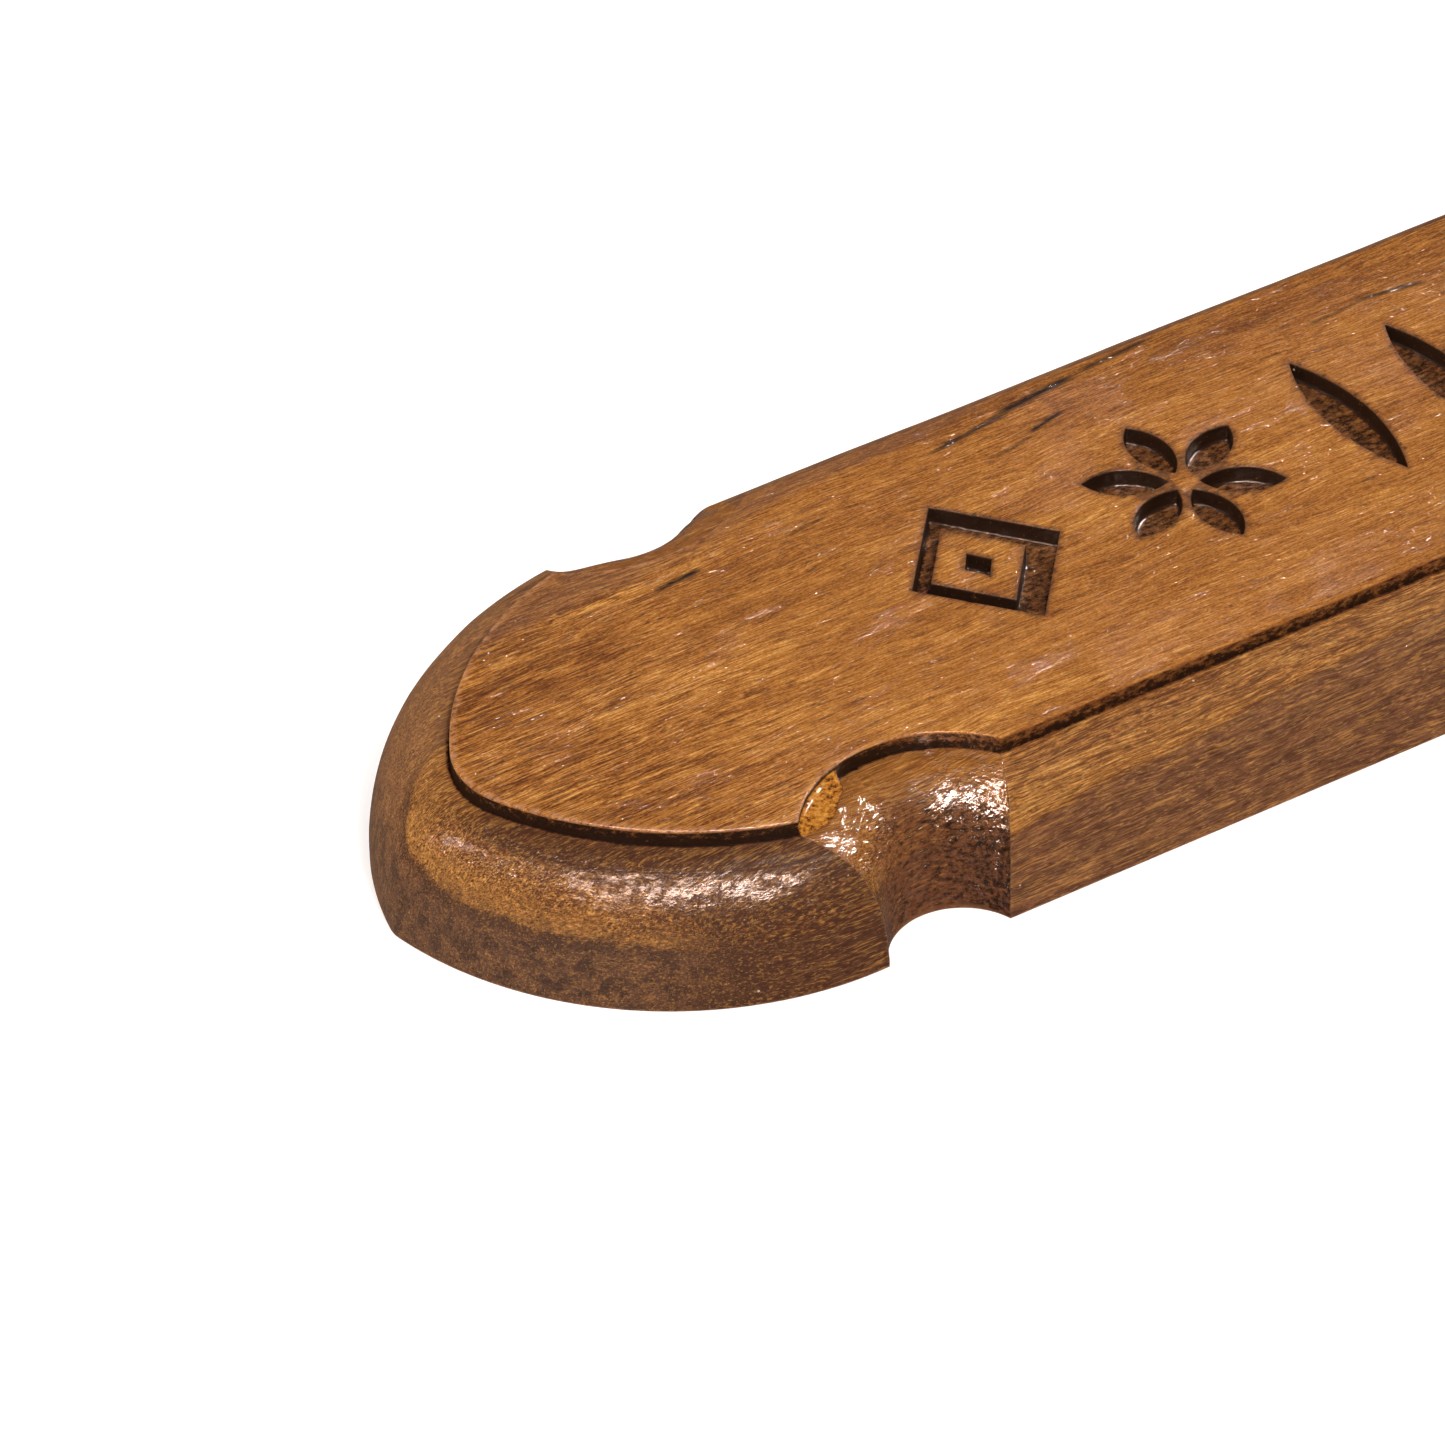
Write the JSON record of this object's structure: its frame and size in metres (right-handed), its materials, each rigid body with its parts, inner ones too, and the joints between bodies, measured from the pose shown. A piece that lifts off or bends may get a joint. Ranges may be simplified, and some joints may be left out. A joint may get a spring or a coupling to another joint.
{
  "type": "door sign",
  "caption": "Carved one-piece teak door sign: raised panel with engraved ornaments, stepped and rounded moulding, lobed ends with scalloped notches, keyhole hangers on the back.",
  "frame": {"origin": "middle of the flat back face", "axes": "+X along the sign, +Y towards its upper edge, +Z out of its face"},
  "size_m": [0.228, 0.0584, 0.015],
  "materials": {
    "teak": "oiled and lacquered, satin gloss",
    "hanger_plate": "zinc plated, satin",
    "hanger_screw": "yellow zinc plated"
  },
  "bodies": {
    "root": {"plaque_body": "teak", "keyhole_hanger_left": "hanger_plate", "hanger_screw_left_upper": "hanger_screw", "hanger_screw_left_lower": "hanger_screw", "keyhole_hanger_right": "hanger_plate", "hanger_screw_right_upper": "hanger_screw", "hanger_screw_right_lower": "hanger_screw"}
  },
  "joints": []
}
